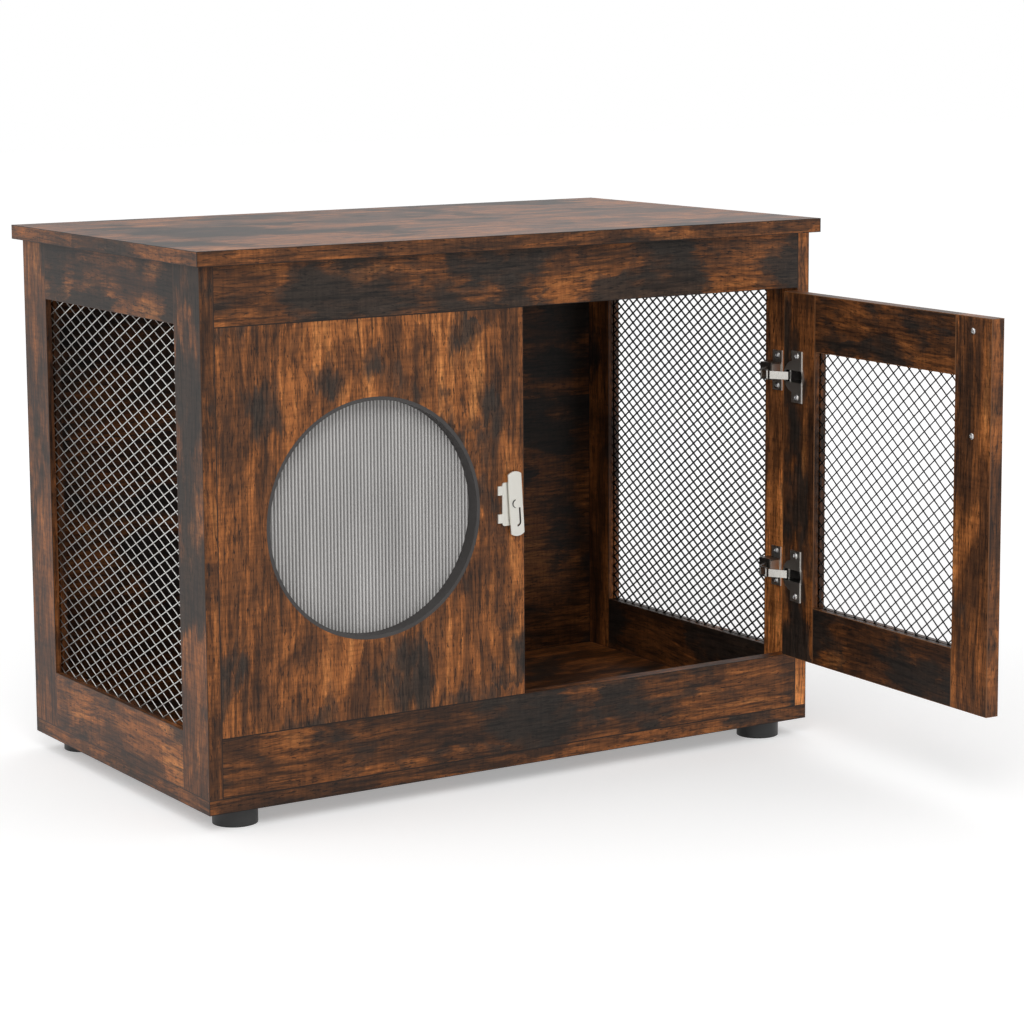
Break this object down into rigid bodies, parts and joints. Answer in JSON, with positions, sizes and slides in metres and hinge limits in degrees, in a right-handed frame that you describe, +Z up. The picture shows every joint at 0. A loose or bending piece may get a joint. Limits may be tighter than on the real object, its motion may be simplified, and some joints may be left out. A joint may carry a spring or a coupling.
{
  "type": "dog crate end table",
  "caption": "Wooden end table with a pet cabin inside, woven wire sides, a round ribbed window in a fixed panel, and a framed mesh door on concealed hinges beside a turn latch.",
  "frame": {"origin": "on the floor, centred between the four feet", "axes": "+Z up, the front with the door faces -Y, +X towards the hinge side of the door"},
  "size_m": [0.8, 0.8423, 0.612],
  "materials": {
    "wood": "rustic brown woodgrain laminate, satin",
    "mesh_wire": "black coated woven wire",
    "window_glazing": "clear acrylic with fine vertical ribs",
    "window_seal": "matt black",
    "foot_plastic": "matt black moulded plastic",
    "hinge_steel": "nickel plated steel",
    "screw_steel": "zinc plated",
    "latch_nickel": "satin nickel",
    "pull_metal": "matt black",
    "dowel_wood": "bare beech"
  },
  "bodies": {
    "cabinet": {"top_board": "wood", "base_board": "wood", "left_front_stile": "wood", "left_back_stile": "wood", "left_top_rail": "wood", "left_bottom_rail": "wood", "right_front_stile": "wood", "right_back_stile": "wood", "right_top_rail": "wood", "right_bottom_rail": "wood", "back_panel_lower": "wood", "back_panel_upper": "wood", "front_top_rail": "wood", "front_bottom_rail": "wood", "fixed_front_panel": "wood", "left_mesh": "mesh_wire", "right_mesh": "mesh_wire", "window_pane": "window_glazing", "window_gasket": "window_seal", "front_left_foot": "foot_plastic", "front_right_foot": "foot_plastic", "back_left_foot": "foot_plastic", "back_right_foot": "foot_plastic", "upper_hinge_arm": "hinge_steel", "upper_hinge_plate": "hinge_steel", "lower_hinge_arm": "hinge_steel", "lower_hinge_plate": "hinge_steel", "hinge_arm_pins": "hinge_steel", "hinge_arm_screws": "screw_steel", "hinge_plate_screws": "screw_steel", "latch_screws": "screw_steel", "window_screws": "screw_steel", "foot_studs": "screw_steel", "base_screws": "screw_steel", "top_cam_bolts": "screw_steel", "top_cam_locks": "screw_steel", "latch_base": "latch_nickel", "latch_pivot": "latch_nickel", "side_frame_dowels": "dowel_wood", "front_rail_dowels": "dowel_wood", "front_panel_dowels": "dowel_wood", "back_panel_dowels": "dowel_wood"},
    "hinge_links": {"upper_hinge_link": "hinge_steel", "lower_hinge_link": "hinge_steel"},
    "door": {"door_latch_stile": "wood", "door_hinge_stile": "wood", "door_top_rail": "wood", "door_bottom_rail": "wood", "door_mesh": "mesh_wire", "door_pull": "pull_metal", "door_pull_screws": "screw_steel", "door_frame_dowels": "dowel_wood", "upper_hinge_cup": "hinge_steel", "lower_hinge_cup": "hinge_steel", "hinge_cup_screws": "screw_steel", "hinge_cup_pins": "hinge_steel"},
    "latch_bar": {"latch_bar": "latch_nickel"}
  },
  "joints": [
    {"name": "hinge_link_swing", "type": "hinge", "parent": "cabinet", "child": "hinge_links", "pos_m": [0.3399, -0.2163, 0.316], "axis": [0, 0, 1], "range_deg": [-11.03, 56.9]},
    {"name": "door_swing", "type": "hinge", "parent": "hinge_links", "child": "door", "pos_m": [0.35712, -0.23754, 0.316], "axis": [0, 0, 1], "range_deg": [-144.85, 27.98]},
    {"name": "latch_turn", "type": "hinge", "parent": "cabinet", "child": "latch_bar", "pos_m": [-0.014, -0.2287, 0.316], "axis": [0, 1, 0], "range_deg": [-86.6, 93.4]}
  ],
  "couplings": [
    {"joint": "hinge_link_swing", "follows": "door_swing", "ratio": -0.39247}
  ]
}
